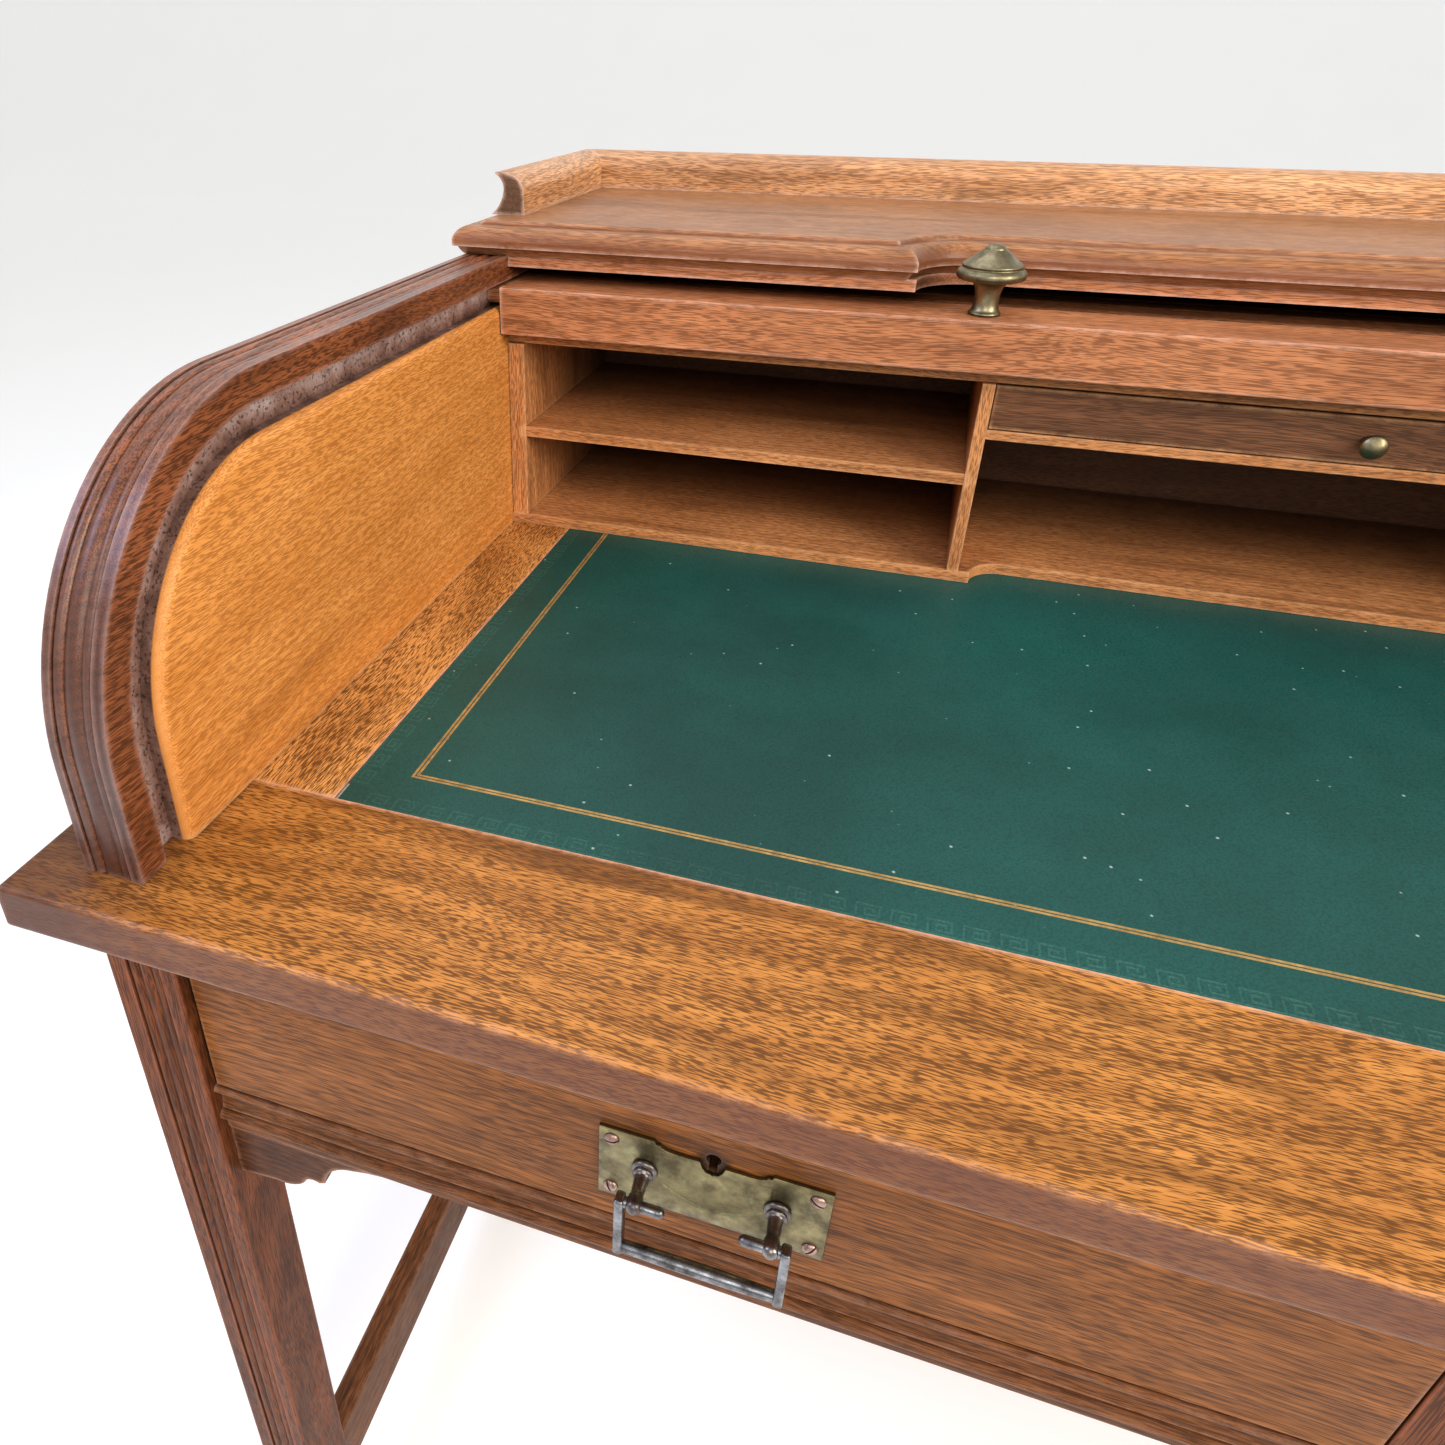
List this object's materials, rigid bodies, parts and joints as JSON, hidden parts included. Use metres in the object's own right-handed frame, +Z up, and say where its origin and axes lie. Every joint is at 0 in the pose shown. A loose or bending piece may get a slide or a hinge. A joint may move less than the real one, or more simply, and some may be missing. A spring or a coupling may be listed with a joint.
{
  "type": "roll top desk",
  "caption": "Roll top desk: leather-lined writing table with drawers, reeded curved sides, sliding tambour, pigeonholes and a galleried top.",
  "frame": {"origin": "middle of the footprint on the floor", "axes": "+X to the sitter's right across the width, -Y towards the sitter, +Z up"},
  "size_m": [1.22, 0.724, 1.01],
  "materials": {
    "oak_frame": "satin fumed oak",
    "oak_top": "satin polished oak",
    "oak_case": "satin fumed oak",
    "oak_lining": "satin golden oak",
    "oak_inner": "satin brown oak",
    "oak_secondary": "plain unpolished oak",
    "leather": "dark green hide with a gold tooled line",
    "brass": "aged brass",
    "steel": "worn dark steel",
    "canvas": "plain canvas"
  },
  "bodies": {
    "desk": {"back_apron": "oak_frame", "back_leg_left": "oak_frame", "back_leg_right": "oak_frame", "case_back": "oak_case", "centre_stile": "oak_frame", "cross_stretcher": "oak_frame", "drawer_runners": "oak_secondary", "frieze_rail": "oak_case", "front_leg_left": "oak_frame", "front_leg_right": "oak_frame", "front_rail": "oak_frame", "gallery_back_rail": "oak_case", "gallery_board": "oak_case", "gallery_side_rail_left": "oak_case", "gallery_side_rail_right": "oak_case", "groove_lining_left": "oak_lining", "groove_lining_right": "oak_lining", "inner_drawer_shelf": "oak_inner", "leather_panel": "leather", "pigeonhole_back": "oak_inner", "pigeonhole_base": "oak_inner", "pigeonhole_dividers": "oak_inner", "pigeonhole_ends": "oak_inner", "pigeonhole_shelves": "oak_inner", "pigeonhole_top": "oak_inner", "rail_brackets": "oak_frame", "roll_side_left": "oak_case", "roll_side_right": "oak_case", "side_apron_left": "oak_frame", "side_apron_right": "oak_frame", "side_stretcher_left": "oak_frame", "side_stretcher_right": "oak_frame", "tambour_tail_slats": "oak_lining", "top_back_board": "oak_top", "top_front_board": "oak_top", "top_ground": "oak_secondary", "top_side_board_left": "oak_top", "top_side_board_right": "oak_top"},
    "drawer_left": {"drawer_front_left": "oak_frame", "drawer_carcase_left": "oak_secondary", "drawer_bottom_left": "oak_secondary", "drawer_lock_left": "steel", "pull_plate_left": "brass", "handle_fixings_left": "steel"},
    "drawer_right": {"drawer_front_right": "oak_frame", "drawer_carcase_right": "oak_secondary", "drawer_bottom_right": "oak_secondary", "drawer_lock_right": "steel", "pull_plate_right": "brass", "handle_fixings_right": "steel"},
    "bail_left": {"bail_left": "steel"},
    "bail_right": {"bail_right": "steel"},
    "inner_drawer": {"inner_drawer_front": "oak_inner", "inner_drawer_tray": "oak_secondary", "inner_drawer_knob": "brass"},
    "tambour": {"lead_rail": "oak_case", "tambour_slats": "oak_lining", "tambour_canvas": "canvas", "tambour_knob_left": "brass", "tambour_knob_right": "brass"}
  },
  "joints": [
    {"name": "drawer_left_slide", "type": "slide", "parent": "desk", "child": "drawer_left", "axis": [0, -1, 0], "range_m": [0, 0.32]},
    {"name": "drawer_right_slide", "type": "slide", "parent": "desk", "child": "drawer_right", "axis": [0, -1, 0], "range_m": [0, 0.32]},
    {"name": "bail_left_swing", "type": "hinge", "parent": "drawer_left", "child": "bail_left", "pos_m": [-0.2834, -0.344, 0.65], "axis": [-1, 0, 0], "range_deg": [-15, 95]},
    {"name": "bail_right_swing", "type": "hinge", "parent": "drawer_right", "child": "bail_right", "pos_m": [0.2834, -0.344, 0.65], "axis": [-1, 0, 0], "range_deg": [-15, 95]},
    {"name": "inner_drawer_slide", "type": "slide", "parent": "desk", "child": "inner_drawer", "axis": [0, -1, 0], "range_m": [0, 0.12]},
    {"name": "tambour_slide", "type": "slide", "parent": "desk", "child": "tambour", "axis": [0, -1, 0], "range_m": [0, 0.135]}
  ]
}
